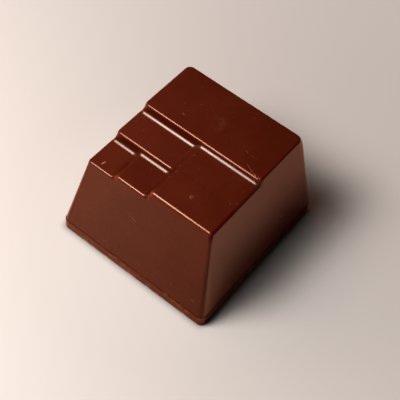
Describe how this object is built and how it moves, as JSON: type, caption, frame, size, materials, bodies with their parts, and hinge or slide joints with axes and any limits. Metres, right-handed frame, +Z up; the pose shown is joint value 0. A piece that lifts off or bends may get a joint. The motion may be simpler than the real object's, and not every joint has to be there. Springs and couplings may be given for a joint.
{
  "type": "moulded chocolate praline",
  "caption": "Moulded milk-chocolate praline: a nearly square truncated pyramid with stepped flat terraces on top, sloping walls and a low foot band.",
  "frame": {"origin": "middle of the flat underside", "axes": "+Z up; X along the shorter side of the foot and Y along the longer; the lowest terrace is at the -X -Y corner and the highest is the strip along the +Y side"},
  "size_m": [0.0254, 0.0266, 0.0177],
  "materials": {
    "chocolate_shell": "milk chocolate as it leaves a polished mould: satin gloss on the terraces, duller walls with faint scuffs",
    "chocolate_foot": "milk chocolate, dull and slightly rough, with small pale marks and an uneven lower edge"
  },
  "bodies": {
    "root": {"chocolate_body": "chocolate_shell", "chocolate_base": "chocolate_foot"}
  },
  "joints": []
}
